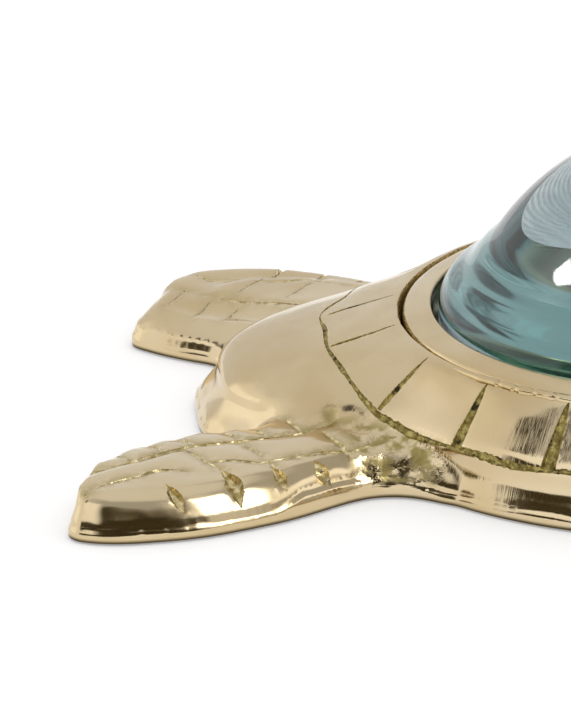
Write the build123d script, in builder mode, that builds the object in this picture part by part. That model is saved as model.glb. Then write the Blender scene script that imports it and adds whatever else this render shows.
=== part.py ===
from build123d import *
from math import cos, exp, radians, sin
import os

# Cast brass sea turtle with a solid glass dome in its back, lengths in millimetres.
# +X runs towards the head, +Z up, and the origin lies on the table under the dome's axis.

# Glass dome
glass_radius = 35.0
glass_gap = 0.9                 # clearance between the glass and the wall of the bezel
glass_side_height = 12.0        # straight side, above the glass's flat base
shoulder_radius = 5.3
collar_foot_inset = 3.9         # from the straight side in to where the collar leaves the shoulder
collar_height = 3.55
collar_round = 8.0
dome_kink_inset = 7.0           # from the straight side in to where the dome leaves the collar
dome_radius_cut = 1.7           # the dome's sphere is smaller than the foot by this much
glass_base_chamfer = 0.8

# Bezel cup that holds the glass
bezel_height = 16.1             # rim above the table
bezel_wall = 3.9
bezel_rim_fall = 0.6            # fall of the rim's face from its inner to its outer edge
bezel_edge_width = 0.6
bezel_edge_depth = 0.9
bezel_lip_round = 0.4
ledge_width = 4.5
ledge_thickness = 1.2
seat_thickness = 0.5
seat_margin = 0.6
press_clearance = 0.05          # radial gap between the bezel and the casting's bore

# Shell of the casting
felt_gap = 0.3                  # height of the casting's underside above the table
flange_height = 1.9
flange_step = 0.4
band_width = 8.05               # brass between the bore and the shell's outer face
wall_taper = 0.3
tail_taper = 3.0
border_height = 7.8
crown_height = 15.3
tail_length = 67.5
tail_spread = 24.0              # half angle in degrees at which the tail has faded
lip_width = 1.7
lip_thickness = 1.5
rim_groove_width = 1.0
rim_groove_depth = 0.8
rim_land = 0.4
root_fillet = 5.0
outline_points = 36

# Flippers
flipper_height = 6.8
flipper_round = 5.5             # how far the top edge is rounded in from the side
flipper_tip_round = 1.6
right_hind_root_x = 42.0
right_hind_root_y = 25.0
right_hind_angle = 23.0
right_hind_length = 43.7
right_hind_width = 24.5
left_hind_root_x = 39.4         # the two hind flippers were carved by hand and differ a little
left_hind_root_y = 24.0
left_hind_angle = 17.0
left_hind_length = 43.6
left_hind_width = 27.5
left_hind_tip_round = 3.5
front_root_x = 27.0
front_root_y = 30.0
front_angle = 62.0
front_length = 50.0
front_width = 21.0

# Head
head_front = 80.3
neck_start = 36.0
head_width = 23.0
head_height = 20.5
eye_radius = 1.9

# Felt under the casting
felt_thickness = 1.0
felt_clearance = 0.3            # gap between a felt piece's edge and its pocket
base_felt_inset = 0.75          # from the bore out to the felt ring's inner edge
base_felt_width = 4.0
pad_radius = 5.0

overrun = 1.0

collar_foot_radius = glass_radius - collar_foot_inset
dome_kink_radius = glass_radius - dome_kink_inset
dome_radius = glass_radius - dome_radius_cut
bezel_inner = glass_radius + glass_gap
bezel_outer = bezel_inner + bezel_wall
bore_radius = bezel_outer + press_clearance
bezel_bottom = felt_gap + lip_thickness
ledge_top = bezel_bottom + ledge_thickness
glass_bottom = ledge_top + seat_thickness
pocket_depth = felt_thickness - felt_gap
base_felt_inner = bore_radius + base_felt_inset
shell_radius = bore_radius + band_width
wall_bottom = felt_gap + flange_height
wall_radius = shell_radius - flange_step
wall_reach = tail_length - flange_step
border_radius = wall_radius - wall_taper
border_reach = wall_reach - tail_taper
crown_radius = bore_radius + rim_groove_width + rim_land

# Share of the way from border to crown in height, and of the tail's reach lost by then
crown_shares = ((0.0, 0.0), (0.24, 0.115), (0.45, 0.35), (0.68, 0.62), (0.85, 0.84), (1.0, 1.0))

# Flipper outlines as shares of length and width, from the root out to the tip and back
right_hind_outer_shares = (
    (-0.18, 0.62), (-0.12, 0.58), (-0.06, 0.45), (0.0, 0.355), (0.085, 0.31), (0.17, 0.335),
    (0.33, 0.435), (0.50, 0.495), (0.66, 0.515), (0.80, 0.48), (0.90, 0.43), (0.965, 0.36),
)
right_hind_tip_shares = ((1.0, 0.28), (0.985, 0.16), (0.855, -0.28), (0.84, -0.33))
right_hind_inner_shares = (
    (0.81, -0.36), (0.745, -0.42), (0.64, -0.49), (0.48, -0.53),
    (0.33, -0.51), (0.17, -0.48), (-0.05, -0.42), (-0.18, -0.40),
)
left_hind_outer_shares = (
    (-0.18, 0.55), (-0.12, 0.51), (-0.05, 0.43), (0.05, 0.385), (0.13, 0.40), (0.22, 0.44),
    (0.35, 0.485), (0.46, 0.51), (0.565, 0.51), (0.657, 0.475), (0.747, 0.415), (0.83, 0.32),
)
left_hind_tip_shares = ((0.865, 0.20), (0.88, 0.04), (0.878, -0.255), (0.86, -0.35))
left_hind_inner_shares = (
    (0.82, -0.39), (0.736, -0.44), (0.573, -0.495), (0.41, -0.51),
    (0.226, -0.49), (-0.045, -0.42), (-0.18, -0.40),
)
front_outer_shares = (
    (-0.2, 0.55), (0.1, 0.62), (0.35, 0.60), (0.6, 0.48), (0.8, 0.30), (0.95, 0.10),
)
front_tip_shares = ((0.99, 0.03), (1.0, -0.06), (0.97, -0.18), (0.94, -0.22))
front_inner_shares = (
    (0.9, -0.24), (0.75, -0.235), (0.6, -0.22), (0.4, -0.25), (0.2, -0.33), (-0.1, -0.4),
)

# Flipper sections: share of the height above the flange, and of the rounding used up there
# along the sides and at the tip
flipper_shares = (
    (0.0, 0.0, 0.0), (0.42, 0.04, 0.06), (0.72, 0.22, 0.25), (0.88, 0.52, 0.60), (1.0, 1.1, 3.5),
)

# Head sections: share of length, then half width, underside and top as shares of size
head_shares = (
    (0.0, 0.46, 0.11, 0.60), (0.27, 0.41, 0.14, 0.68), (0.45, 0.46, 0.17, 0.87),
    (0.63, 0.50, 0.21, 1.0), (0.80, 0.42, 0.26, 0.93), (0.92, 0.27, 0.33, 0.78),
    (1.0, 0.10, 0.44, 0.62),
)
eye_share = (0.68, 0.45, 0.66)
hind_corner_share = (0.40, -0.50)   # where each flipper's inner edge leaves the shell
front_corner_share = (0.30, -0.28)
hind_pad_share = (0.60, 0.02)
front_pad_share = (0.62, 0.13)


def tail_fade(angle):
    # how much of the tail's reach shows at an angle in degrees from the tail
    return exp(-((abs(angle) / tail_spread) ** 3))


def shell_points(side, reach):
    # closed outline of the shell at one height, counted round from the tail
    points = []
    for number in range(outline_points):
        angle = number * 360.0 / outline_points
        turn = angle if angle <= 180.0 else angle - 360.0
        radius = side + (reach - side) * tail_fade(turn)
        points.append((-radius * cos(radians(angle)), radius * sin(radians(angle))))
    return points


class Flipper:
    # outline shares, inner corner, root, heading from the tail in degrees, length, width,
    # rounding of the tip, and side: 1 for the turtle's left, -1 for its right
    def __init__(self, shares, corner_share, root, heading, length, width, tip_round, side):
        self.shares = shares
        self.corner_share = corner_share
        self.root = root
        self.heading = heading
        self.length = length
        self.width = width
        self.tip_round = tip_round
        self.side = side

    def place(self, share):
        along = share[0] * self.length
        across = share[1] * self.width
        turn = radians(self.heading)
        x = self.root[0] - along * cos(turn) + across * sin(turn)
        y = self.root[1] + along * sin(turn) + across * cos(turn)
        return (x, self.side * y)

    def shrunk(self, inset, tip_inset):
        return Flipper(
            self.shares, self.corner_share, self.root, self.heading,
            self.length - tip_inset, self.width - 2 * inset, self.tip_round, self.side,
        )

    def outline(self):
        outer, tip, inner = self.shares
        leading = [self.place(share) for share in outer]
        end = [self.place(share) for share in tip]
        trailing = [self.place(share) for share in inner]
        Spline(*leading)
        ThreePointArc(leading[-1], end[0], end[1])
        Line(end[1], end[2])
        ThreePointArc(end[2], end[3], trailing[0])
        Spline(*trailing)
        Line(trailing[-1], leading[0])


right_hind = Flipper(
    (right_hind_outer_shares, right_hind_tip_shares, right_hind_inner_shares), hind_corner_share,
    (-right_hind_root_x, right_hind_root_y), right_hind_angle,
    right_hind_length, right_hind_width, flipper_tip_round, -1,
)
left_hind = Flipper(
    (left_hind_outer_shares, left_hind_tip_shares, left_hind_inner_shares), hind_corner_share,
    (-left_hind_root_x, left_hind_root_y), left_hind_angle,
    left_hind_length, left_hind_width, left_hind_tip_round, 1,
)
front_shares = (front_outer_shares, front_tip_shares, front_inner_shares)
right_front, left_front = [
    Flipper(
        front_shares, front_corner_share, (front_root_x, front_root_y), front_angle,
        front_length, front_width, flipper_tip_round, side,
    )
    for side in (-1, 1)
]
flippers = (left_hind, right_hind, left_front, right_front)
pads = {
    "felt_pad_hind_left": left_hind.place(hind_pad_share),
    "felt_pad_hind_right": right_hind.place(hind_pad_share),
    "felt_pad_front_left": left_front.place(front_pad_share),
    "felt_pad_front_right": right_front.place(front_pad_share),
}

# Turtle casting: shell, tail, flippers and head in one piece of brass
with BuildPart() as turtle_casting:
    # flange that the whole outline stands on, its inner corners rounded as a pattern's are
    with BuildSketch(Plane.XY.offset(felt_gap)):
        with BuildLine():
            Spline(*shell_points(shell_radius, tail_length), periodic=True)
        make_face()
        for flipper in flippers:
            with BuildLine():
                flipper.outline()
            make_face()
    extrude(amount=flange_height)
    for flipper in flippers:
        corner = flipper.place(flipper.corner_share)
        upright = turtle_casting.edges().filter_by(Axis.Z).sort_by_distance(corner)[0]
        fillet(upright, radius=root_fillet)

    # side wall of the shell
    with BuildSketch(Plane.XY.offset(wall_bottom)):
        with BuildLine():
            Spline(*shell_points(wall_radius, wall_reach), periodic=True)
        make_face()
    with BuildSketch(Plane.XY.offset(border_height)):
        with BuildLine():
            Spline(*shell_points(border_radius, border_reach), periodic=True)
        make_face()
    loft()

    # scute band that climbs to the glass, with the tail running out of it
    for height_share, reach_share in crown_shares:
        height = border_height + (crown_height - border_height) * height_share
        side = border_radius + (crown_radius - border_radius) * height_share
        reach = border_reach + (crown_radius - border_reach) * reach_share
        with BuildSketch(Plane.XY.offset(height)):
            with BuildLine():
                Spline(*shell_points(side, reach), periodic=True)
            make_face()
    loft()

    # flippers with rounded upper edges
    for flipper in flippers:
        for height_share, round_share, tip_share in flipper_shares:
            height = wall_bottom + (flipper_height - wall_bottom) * height_share
            inset = flange_step + flipper_round * round_share
            tip_inset = flange_step + flipper.tip_round * tip_share
            with BuildSketch(Plane.XY.offset(height)):
                with BuildLine():
                    flipper.shrunk(inset, tip_inset).outline()
                make_face()
        loft()

    # head and neck
    head_length = head_front - neck_start
    for length_share, half_share, low_share, high_share in head_shares:
        with BuildSketch(Plane.YZ.offset(neck_start + head_length * length_share)):
            with Locations((0, head_height * (low_share + high_share) / 2)):
                Ellipse(head_width * half_share, head_height * (high_share - low_share) / 2)
    loft()
    eye_x = neck_start + head_length * eye_share[0]
    eye_y = head_width * eye_share[1]
    eye_z = head_height * eye_share[2]
    with Locations((eye_x, eye_y, eye_z), (eye_x, -eye_y, eye_z)):
        Sphere(eye_radius)

    # bore for the bezel, with a lip below it and half of the rim groove at its mouth
    lip_radius = bore_radius - lip_width
    groove_bottom = crown_height - rim_groove_depth
    groove_run = rim_groove_width * (rim_groove_depth + overrun) / rim_groove_depth
    with BuildSketch(Plane.XZ):
        with BuildLine():
            Polyline(
                (0, -overrun),
                (lip_radius, -overrun),
                (lip_radius, bezel_bottom),
                (bore_radius, bezel_bottom),
                (bore_radius, groove_bottom),
                (bore_radius + groove_run, crown_height + overrun),
                (0, crown_height + overrun),
                close=True,
            )
        make_face()
    revolve(axis=Axis.Z, mode=Mode.SUBTRACT)

    # shallow pockets for the felt
    with BuildSketch(Plane.XY.offset(felt_gap)):
        Circle(base_felt_inner + base_felt_width + felt_clearance)
        Circle(base_felt_inner - felt_clearance, mode=Mode.SUBTRACT)
        with Locations(*pads.values()):
            Circle(pad_radius + felt_clearance)
    extrude(amount=pocket_depth, mode=Mode.SUBTRACT)
turtle_casting.part.label = "turtle_casting"

# Bezel cup, turned from bar and pressed into the casting
with BuildPart() as bezel_ring:
    rim_outer = bezel_outer - bezel_edge_width
    rim_low = bezel_height - bezel_rim_fall
    with BuildSketch(Plane.XZ):
        with BuildLine():
            Polyline(
                (bezel_inner - ledge_width, bezel_bottom),
                (bezel_outer, bezel_bottom),
                (bezel_outer, rim_low - bezel_edge_depth),
                (rim_outer, rim_low),
                (bezel_inner, bezel_height),
                (bezel_inner, ledge_top),
                (bezel_inner - ledge_width, ledge_top),
                close=True,
            )
        make_face()
    revolve(axis=Axis.Z)
    inner_rim = bezel_ring.edges().filter_by(GeomType.CIRCLE).sort_by(Axis.Z)[-1]
    fillet(inner_rim, radius=bezel_lip_round)
bezel_ring.part.label = "bezel_ring"

# Washer between the ledge and the glass
with BuildPart() as seat_washer:
    with BuildSketch(Plane.XY.offset(ledge_top)):
        Circle(glass_radius - glass_base_chamfer)
        Circle(bezel_inner - ledge_width + seat_margin, mode=Mode.SUBTRACT)
    extrude(amount=seat_thickness)
seat_washer.part.label = "seat_washer"

# Solid glass: a straight-sided foot, a rounded shoulder, a bulging collar and a dome
with BuildPart() as glass_dome:
    side_top = glass_bottom + glass_side_height
    shoulder_centre = glass_radius - shoulder_radius
    collar_foot_rise = (shoulder_radius**2 - (collar_foot_radius - shoulder_centre) ** 2) ** 0.5
    collar_foot_height = side_top + collar_foot_rise
    kink_height = collar_foot_height + collar_height
    dome_centre = kink_height - (dome_radius**2 - dome_kink_radius**2) ** 0.5
    with BuildSketch(Plane.XZ):
        with BuildLine():
            base = Line((0, glass_bottom), (glass_radius - glass_base_chamfer, glass_bottom))
            corner = Line(base @ 1, (glass_radius, glass_bottom + glass_base_chamfer))
            side = Line(corner @ 1, (glass_radius, side_top))
            shoulder = TangentArc((side @ 1, (collar_foot_radius, collar_foot_height)), tangent=(0, 1))
            collar = RadiusArc(shoulder @ 1, (dome_kink_radius, kink_height), -collar_round)
            dome = RadiusArc(collar @ 1, (0, dome_centre + dome_radius), -dome_radius)
            Line(dome @ 1, base @ 0)
        make_face()
    revolve(axis=Axis.Z)
glass_dome.part.label = "glass_dome"

# Felt ring under the shell
with BuildPart() as base_felt:
    with BuildSketch():
        Circle(base_felt_inner + base_felt_width)
        Circle(base_felt_inner, mode=Mode.SUBTRACT)
    extrude(amount=felt_thickness)
base_felt.part.label = "base_felt"

os.makedirs("parts", exist_ok=True)
export_step(turtle_casting.part, "parts/turtle_casting.step")
export_step(bezel_ring.part, "parts/bezel_ring.step")
export_step(seat_washer.part, "parts/seat_washer.step")
export_step(glass_dome.part, "parts/glass_dome.step")
export_step(base_felt.part, "parts/base_felt.step")

# Round felt pads, one under each flipper
for pad_name, pad_place in pads.items():
    with BuildPart() as pad:
        with BuildSketch():
            with Locations(pad_place):
                Circle(pad_radius)
        extrude(amount=felt_thickness)
    pad.part.label = pad_name
    export_step(pad.part, f"parts/{pad_name}.step")

print("casting", turtle_casting.part.bounding_box(), turtle_casting.part.volume)
print("dome apex", dome_centre + dome_radius)
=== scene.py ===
import bpy
import math
import numpy as np
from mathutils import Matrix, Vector, noise
from mathutils.bvhtree import BVHTree


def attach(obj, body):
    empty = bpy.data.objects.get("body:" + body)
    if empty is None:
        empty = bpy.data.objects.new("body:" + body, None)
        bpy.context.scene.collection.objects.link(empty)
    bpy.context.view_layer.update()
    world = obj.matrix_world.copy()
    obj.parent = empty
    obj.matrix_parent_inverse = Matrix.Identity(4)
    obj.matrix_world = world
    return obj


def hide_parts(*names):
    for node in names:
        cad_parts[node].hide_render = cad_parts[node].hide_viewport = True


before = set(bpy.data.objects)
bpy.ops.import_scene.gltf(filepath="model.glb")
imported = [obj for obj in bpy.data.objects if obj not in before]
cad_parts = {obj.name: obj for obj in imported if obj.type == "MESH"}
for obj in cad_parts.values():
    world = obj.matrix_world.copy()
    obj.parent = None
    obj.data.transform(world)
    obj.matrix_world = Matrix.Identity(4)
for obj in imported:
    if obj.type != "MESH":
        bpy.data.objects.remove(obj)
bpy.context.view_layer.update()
mm = 0.001
tiny = 0.001 * mm   # points nearer than this are one point
print("frame loaded")


# small helpers for the work below
def pickOnly(obj):
    bpy.ops.object.select_all(action="DESELECT")
    obj.select_set(True)
    bpy.context.view_layer.objects.active = obj


def useModifier(obj, kind, **settings):
    pickOnly(obj)
    mod = obj.modifiers.new(kind.lower(), kind)
    for key, value in settings.items():
        setattr(mod, key, value)
    bpy.ops.object.modifier_apply(modifier=mod.name)


def copyNode(nodeName, newName):
    pickOnly(bpy.data.objects[nodeName])
    bpy.ops.object.duplicate()
    twin = bpy.context.active_object
    twin.name = newName
    twin.data.name = newName
    for key in [key for key in twin.keys() if key.startswith("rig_")]:
        del twin[key]
    twin.data.materials.clear()
    return twin


def editAll(obj):
    pickOnly(obj)
    bpy.ops.object.mode_set(mode="EDIT")
    bpy.ops.mesh.select_all(action="SELECT")


def faceOutwards():
    bpy.ops.mesh.normals_make_consistent(inside=False)
    bpy.ops.object.mode_set(mode="OBJECT")


def joinAll(objects, name):
    bpy.ops.object.select_all(action="DESELECT")
    for obj in objects:
        obj.select_set(True)
    bpy.context.view_layer.objects.active = objects[0]
    if len(objects) > 1:
        bpy.ops.object.join()
    objects[0].name = name
    return objects[0]


def smoothWhere(obj, corners, passes):
    group = obj.vertex_groups.new(name="chosen")
    group.add([int(n) for n in corners], 1.0, "REPLACE")
    useModifier(obj, "SMOOTH", factor=0.5, iterations=passes, vertex_group="chosen")
    obj.vertex_groups.clear()


def readPoints(obj):
    points = np.empty(len(obj.data.vertices) * 3)
    obj.data.vertices.foreach_get("co", points)
    return points.reshape(-1, 3) / mm


def readNormals(obj):
    normals = np.empty(len(obj.data.vertices) * 3)
    obj.data.vertex_normals.foreach_get("vector", normals)
    return normals.reshape(-1, 3)


def writePoints(obj, points):
    obj.data.vertices.foreach_set("co", (points * mm).ravel())
    obj.data.update()


def aroundAxis(points):
    # distance from the upright axis in mm, and turn from the tail in degrees
    return np.hypot(points[:, 0], points[:, 1]), np.degrees(np.arctan2(points[:, 1], -points[:, 0]))


def noiseAt(points, size, seed=0.0):
    # one value from -1 to 1 for each point, with lumps of about that size in mm
    shift = Vector((seed, 2.3 * seed, 5.1 * seed))
    return np.array([noise.noise(Vector(point) / size + shift) for point in points])


def lumps(points, layers):
    # noise in layers of (height in mm, size in mm, seed)
    return sum(height * noiseAt(points, size, seed) for height, size, seed in layers)


def ease(low, high, values):
    share = np.clip((values - low) / (high - low), 0.0, 1.0)
    return share * share * (3.0 - 2.0 * share)


def unit(vectors):
    return vectors / np.maximum(np.linalg.norm(vectors, axis=1), 1e-6)[:, None]


def cylinder(sides, radius, low, high, x=0, y=0):
    # upright, in mm
    bpy.ops.object.select_all(action="DESELECT")
    bpy.ops.mesh.primitive_cylinder_add(
        vertices=sides, radius=radius * mm, depth=(high - low) * mm,
        location=(x * mm, y * mm, (low + high) / 2 * mm),
    )
    return bpy.context.active_object


def shadeSmooth(obj, degrees):
    pickOnly(obj)
    bpy.ops.object.shade_smooth_by_angle(angle=math.radians(degrees))


def combine(body, other, operation="DIFFERENCE"):
    useModifier(body, "BOOLEAN", object=other, operation=operation, solver="MANIFOLD")
    bpy.data.objects.remove(other)


def spunShape(name, profile, steps):
    # closed profile of (radius, height) pairs in mm, spun round the upright axis
    mesh = bpy.data.meshes.new(name)
    mesh.from_pydata(
        [(radius * mm, 0, height * mm) for radius, height in profile],
        [(n, (n + 1) % len(profile)) for n in range(len(profile))],
        [],
    )
    obj = bpy.data.objects.new(name, mesh)
    bpy.context.collection.objects.link(obj)
    editAll(obj)
    bpy.ops.mesh.spin(steps=steps, angle=math.tau, center=(0, 0, 0), axis=(0, 0, 1))
    bpy.ops.mesh.select_all(action="SELECT")
    bpy.ops.mesh.remove_doubles(threshold=tiny)
    faceOutwards()
    return obj


# flippers: where each one starts, how it points and how large it is, in mm
class Flipper:
    def __init__(self, rootX, rootY, heading, length, width, side):
        self.rootX, self.rootY = rootX, rootY
        self.turn = math.radians(heading)
        self.length, self.width, self.side = length, width, side

    def place(self, along, across):
        along, across = along * self.length, across * self.width
        x = self.rootX - along * math.cos(self.turn) + across * math.sin(self.turn)
        y = self.rootY + along * math.sin(self.turn) + across * math.cos(self.turn)
        return x, self.side * y

    def shares(self, x, y):
        dx, dy = x - self.rootX, self.side * y - self.rootY
        along = (-dx * math.cos(self.turn) + dy * math.sin(self.turn)) / self.length
        across = (dx * math.sin(self.turn) + dy * math.cos(self.turn)) / self.width
        return along, across

    def outward(self):
        return Vector((math.sin(self.turn), self.side * math.cos(self.turn), 0))


rightHind = Flipper(-42.0, 25.0, 23.0, 43.7, 24.5, -1)
leftHind = Flipper(-39.4, 24.0, 17.0, 43.6, 27.5, 1)
rightFront = Flipper(27.0, 30.0, 62.0, 50.0, 21.0, -1)
leftFront = Flipper(27.0, 30.0, 62.0, 50.0, 21.0, 1)
hindPair = (rightHind, leftHind)
flippers = (rightHind, leftHind, rightFront, leftFront)

# brass casting
castingMake = {
    "voxel": 0.62, "softening": 13, "plugRadius": 41.1, "plugSides": 192, "crownHeight": 15.3,
    "underside": 0.3, "sunk": 1.5, "pocketTop": 1.05,
    "hollowLeast": 0.03, "hollowAbove": 1.5, "hollowRings": 3, "hollowPasses": 30,
    "lumpRadius": 50, "lumpTurn": 25, "lumpLow": 3.4, "lumpHigh": 13, "lumpPasses": 90,
    "smoothAngle": 38,
}
skin = copyNode("turtle_casting", "brass_turtle")
editAll(skin)
bpy.ops.mesh.remove_doubles(threshold=2 * tiny)
faceOutwards()
points = readPoints(skin)
points[points[:, 2] < castingMake["pocketTop"], 2] = -castingMake["sunk"]   # felt pockets filled
writePoints(skin, points)
plug = cylinder(castingMake["plugSides"], castingMake["plugRadius"],
                -castingMake["sunk"], castingMake["crownHeight"])
joinAll([skin, plug], "brass_turtle")
useModifier(skin, "REMESH", mode="VOXEL", voxel_size=castingMake["voxel"] * mm)
useModifier(skin, "SMOOTH", factor=0.5, iterations=castingMake["softening"])


def filletHollows(obj):
    # inner corners of the casting are run out with a soft fillet
    make = castingMake
    points, normals = readPoints(obj), readNormals(obj)
    edges = np.empty(len(obj.data.edges) * 2, np.int32)
    obj.data.edges.foreach_get("vertices", edges)
    edges = edges.reshape(-1, 2)
    total, count = np.zeros_like(points), np.zeros(len(points))
    for here, there in ((edges[:, 0], edges[:, 1]), (edges[:, 1], edges[:, 0])):
        np.add.at(total, here, points[there])
        np.add.at(count, here, 1)
    hollow = ((total / count[:, None] - points) * normals).sum(1) > make["hollowLeast"]
    hollow &= points[:, 2] > make["hollowAbove"]
    for _ in range(make["hollowRings"]):
        grown = hollow.copy()
        grown[edges[:, 0]] |= hollow[edges[:, 1]]
        grown[edges[:, 1]] |= hollow[edges[:, 0]]
        hollow = grown
    smoothWhere(obj, np.flatnonzero(hollow), make["hollowPasses"])


def softenTail(obj):
    # the round mass between the hind flippers
    make = castingMake
    points = readPoints(obj)
    radius, angle = aroundAxis(points)
    lump = (radius > make["lumpRadius"]) & (np.abs(angle) < make["lumpTurn"])
    lump &= (points[:, 2] > make["lumpLow"]) & (points[:, 2] < make["lumpHigh"])
    smoothWhere(obj, np.flatnonzero(lump), make["lumpPasses"])


filletHollows(skin)
softenTail(skin)
print("casting remeshed", len(skin.data.polygons))


# lines on a hind flipper as (share of length, share of width, radius in mm)
hindLines = {
    "row": ((0.90, -0.012, 0.10), (0.878, -0.023, 0.34), (0.753, -0.052, 0.44), (0.558, -0.153, 0.50),
            (0.428, -0.138, 0.52), (0.214, -0.127, 0.46), (0.109, -0.199, 0.12)),
    "tip": ((0.954, 0.246, 0.10), (0.855, 0.192, 0.20), (0.765, 0.177, 0.30), (0.722, 0.143, 0.52),
            (0.68, 0.15, 0.45), (0.631, 0.196, 0.05)),
    "middle": ((0.565, 0.134, 0.06), (0.507, 0.139, 0.42), (0.46, 0.18, 0.45), (0.412, 0.226, 0.25),
               (0.358, 0.216, 0.15), (0.276, 0.211, 0.12)),
    "root": ((0.285, 0.205, 0.05), (0.24, 0.195, 0.30), (0.201, 0.190, 0.34), (0.123, 0.206, 0.3),
             (0.06, 0.18, 0.1)),
}
hindCross = {
    "first": ((0.586, -0.140, 0.10), (0.57, 0.0, 0.2), (0.552, 0.139, 0.22), (0.535, 0.25, 0.2)),
    "second": ((0.412, -0.076, 0.06), (0.398, 0.05, 0.15), (0.387, 0.156, 0.16), (0.379, 0.29, 0.2)),
    "third": ((0.155, -0.069, 0.1), (0.150, 0.05, 0.3), (0.144, 0.158, 0.4), (0.137, 0.25, 0.3)),
    "farA": ((0.775, -0.26, 0.08), (0.765, -0.2, 0.2), (0.755, -0.08, 0.1)),
    "farB": ((0.66, -0.34, 0.08), (0.651, -0.288, 0.3), (0.643, -0.14, 0.1)),
    "farC": ((0.56, -0.36, 0.08), (0.545, -0.25, 0.32), (0.535, -0.19, 0.1)),
    "farD": ((0.42, -0.38, 0.08), (0.408, -0.3, 0.3), (0.400, -0.18, 0.1)),
    "farE": ((0.33, -0.36, 0.08), (0.321, -0.25, 0.3), (0.315, -0.17, 0.1)),
    "farF": ((0.22, -0.36, 0.08), (0.215, -0.28, 0.3), (0.21, -0.17, 0.1)),
}
hindGouges = (   # upper end, how far along the lower end is, its height in mm, radius in mm
    (0.722, 0.330, 0.694, 3.4, 0.95), (0.534, 0.235, 0.519, 3.1, 1.25),
    (0.389, 0.285, 0.367, 3.9, 0.95), (0.256, 0.270, 0.215, 3.0, 1.15),
)
frontLines = {
    "row": ((0.93, -0.12, 0.08), (0.78, -0.06, 0.25), (0.58, 0.0, 0.35), (0.38, 0.0, 0.38),
            (0.14, -0.08, 0.1)),
    "tip": ((0.90, 0.0, 0.06), (0.80, 0.06, 0.3), (0.70, 0.12, 0.42), (0.62, 0.2, 0.06)),
    "middle": ((0.55, 0.22, 0.06), (0.46, 0.24, 0.4), (0.36, 0.26, 0.3), (0.24, 0.28, 0.08)),
}
frontCross = {
    "first": ((0.70, -0.02, 0.06), (0.69, 0.06, 0.22), (0.68, 0.16, 0.2)),
    "second": ((0.56, 0.0, 0.06), (0.55, 0.12, 0.22), (0.54, 0.24, 0.2)),
    "third": ((0.40, 0.0, 0.06), (0.39, 0.15, 0.22), (0.38, 0.28, 0.2)),
    "fourth": ((0.25, -0.04, 0.06), (0.24, 0.15, 0.25), (0.22, 0.32, 0.2)),
    "farA": ((0.80, -0.20, 0.2), (0.79, -0.13, 0.25), (0.78, -0.08, 0.08)),
    "farB": ((0.66, -0.19, 0.2), (0.65, -0.1, 0.25), (0.64, -0.04, 0.08)),
    "farC": ((0.50, -0.19, 0.2), (0.49, -0.1, 0.25), (0.48, -0.02, 0.08)),
    "farD": ((0.34, -0.22, 0.2), (0.33, -0.1, 0.25), (0.32, -0.03, 0.08)),
}
frontGouges = (
    (0.78, 0.14, 0.79, 3.5, 0.75), (0.66, 0.25, 0.66, 3.3, 1.0), (0.52, 0.34, 0.51, 3.4, 1.0),
    (0.37, 0.40, 0.35, 3.3, 1.05), (0.22, 0.43, 0.20, 3.4, 0.95),
)
hindCarving = (hindLines, hindCross, hindGouges)
frontCarving = (frontLines, frontCross, frontGouges)

sculptMake = {
    "faint": 0.6, "lineDip": 0.26, "lineWidth": 1.15, "rowDip": 0.30, "rowWidth": 0.9, "padSwell": 0.10,
    "farRowDrop": 0.12, "sideHollow": 0.9, "draft": 0.55, "draftFrom": 46,
    "farRow": ((0.1, 0.2, 0.43, 0.56, 0.75, 0.88, 1.0), (-0.19, -0.13, -0.14, -0.15, -0.05, -0.02, 0.02)),
    "plateSwell": 0.22, "plateTurn": 18.0, "plateStart": 12.0, "padsFrom": (3.2, 4.6), "padsTo": (7.8, 8.6),
    "waves": ((0.07, 7.0, 1.0), (0.035, 3.0, 2.0)), "rawLumps": ((0.34, 1.7, 12.0), (0.05, 1.3, 13.0)),
}


def faint(points):
    # the left hind flipper is worn smoother than the others
    along, across = leftHind.shares(points[:, 0], points[:, 1])
    return 1 - sculptMake["faint"] * ((along > -0.05) & (along < 1.1) & (abs(across) < 0.6))


def lineGap(points):
    # distance in mm from each point to the nearest carved line of a flipper, and to a row line
    gaps, rows = np.full(len(points), 99.0), np.full(len(points), 99.0)
    for flipper in flippers:
        hind = flipper in hindPair
        along, across = flipper.shares(points[:, 0], points[:, 1])
        spots = np.stack((along * flipper.length, across * flipper.width), axis=1)
        onIt = (along > -0.1) & (along < 1.1) & (abs(across) < 0.6)
        lines = (hindLines | hindCross) if hind else (frontLines | frontCross)
        for name, stops in lines.items():
            knots = np.array(stops)[:, :2] * (flipper.length, flipper.width)
            for start, end in zip(knots[:-1], knots[1:]):
                way = end - start
                share = np.clip((spots[onIt] - start) @ way / (way @ way), 0, 1)
                far = np.linalg.norm(spots[onIt] - start - share[:, None] * way, axis=1)
                gaps[onIt] = np.minimum(gaps[onIt], far)
                if name == "row":
                    rows[onIt] = np.minimum(rows[onIt], far)
    return gaps, rows


# raw roots: shares of a flipper's length and width, and heights in mm, over which they fade
rootMake = {
    "waver": 0.035, "start": (-0.20, -0.10), "end": (0.07, 0.16), "inner": (-0.75, -0.6),
    "outer": (0.40, 0.52), "low": (1.8, 2.6), "high": (7.0, 8.4),
}


def rawShare(points):
    # where the roots of the flippers were left as they came from the mould
    make = rootMake
    raw = np.zeros(len(points))
    waver = make["waver"] * noiseAt(points, 2.5, 4.0)
    for flipper in flippers:
        along, across = flipper.shares(points[:, 0], points[:, 1])
        along = along + waver
        band = ease(*make["start"], along) * (1 - ease(*make["end"], along))
        band *= ease(*make["inner"], across) * (1 - ease(*make["outer"], across))
        band *= ease(*make["low"], points[:, 2])
        band *= 1 - ease(*make["high"], points[:, 2])
        raw = np.maximum(raw, band)
    return raw


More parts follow.
